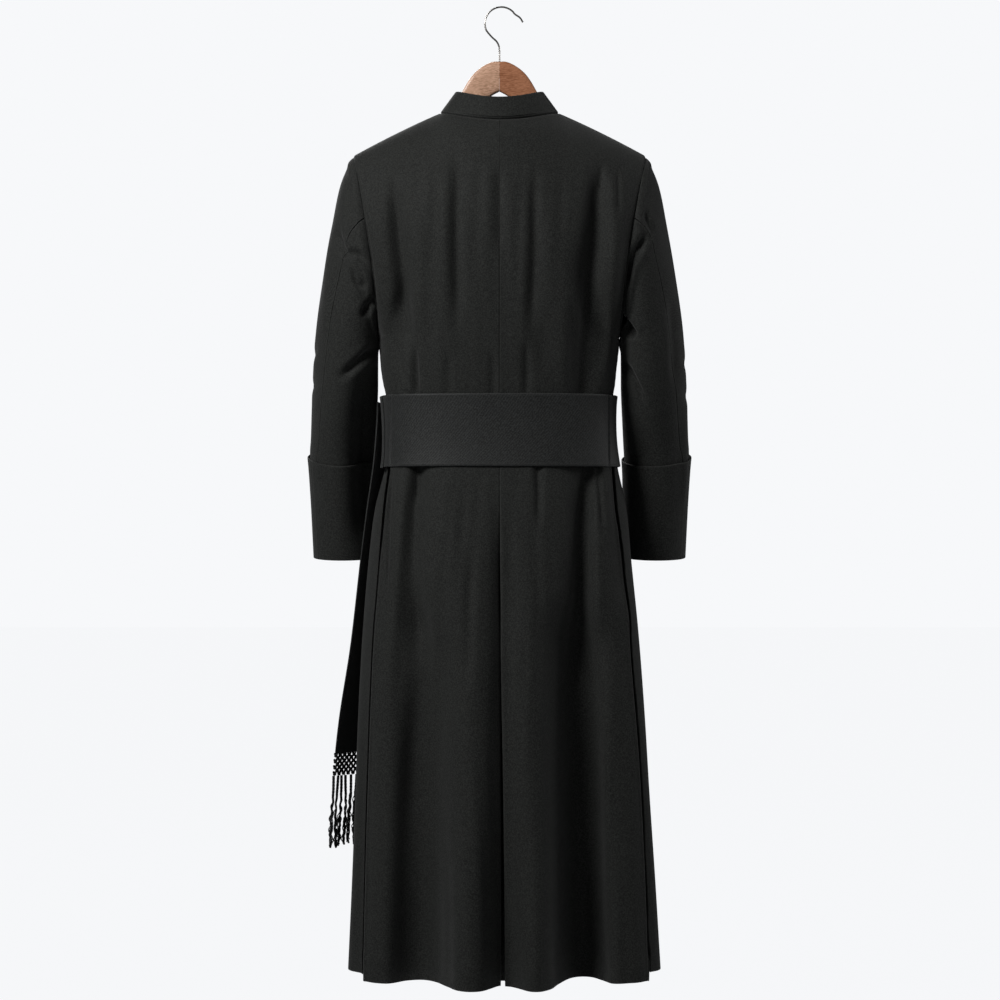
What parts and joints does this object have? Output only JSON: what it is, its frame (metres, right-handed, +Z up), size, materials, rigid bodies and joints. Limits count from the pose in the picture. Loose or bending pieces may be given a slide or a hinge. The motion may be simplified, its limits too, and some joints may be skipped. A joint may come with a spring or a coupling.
{
  "type": "cassock on a hanger",
  "caption": "Ankle-length clerical cassock with a standing collar, turned-back cuffs, pleated skirt and fringed sash, filled out on a wooden hanger.",
  "frame": {"origin": "the inside of the top of the hanger's hook, where a rail carries it", "axes": "+Z up; the garment's front faces -Y and its back +Y; the wearer's left is +X"},
  "size_m": [0.6244, 0.3565, 1.541],
  "materials": {
    "wool": "black worsted twill with a slight nap",
    "sash": "black corded silk blend with a low sheen",
    "fringe": "black twisted and netted cord",
    "light_wood": "lacquered pinkish-brown wood",
    "dark_wood": "lacquered walnut-brown wood",
    "steel": "nickel-plated wire"
  },
  "bodies": {
    "root": {"back_left": "wool", "back_right": "wool", "back_pleat": "wool", "side_left": "wool", "side_right": "wool", "front_left": "wool", "front_right": "wool", "collar": "wool", "sleeve_top_left": "wool", "sleeve_top_right": "wool", "sleeve_under_left": "wool", "sleeve_under_right": "wool", "cuff_left": "wool", "cuff_right": "wool", "button_01": "wool", "button_02": "wool", "button_03": "wool", "button_04": "wool", "button_05": "wool", "button_06": "wool", "button_07": "wool", "button_08": "wool", "button_09": "wool", "button_10": "wool", "button_11": "wool", "button_12": "wool", "button_13": "wool", "button_14": "wool", "button_15": "wool", "button_16": "wool", "button_17": "wool", "button_18": "wool", "button_19": "wool", "button_20": "wool", "button_21": "wool", "button_22": "wool", "button_23": "wool", "button_24": "wool", "button_25": "wool", "fascia_band": "sash", "fascia_end": "sash", "fall_rear": "sash", "fall_front": "sash", "net_rear": "fringe", "net_front": "fringe", "fringe_rear": "fringe", "fringe_front": "fringe", "hanger_left": "light_wood", "hanger_right": "dark_wood", "hanger_hook": "steel"}
  },
  "joints": []
}
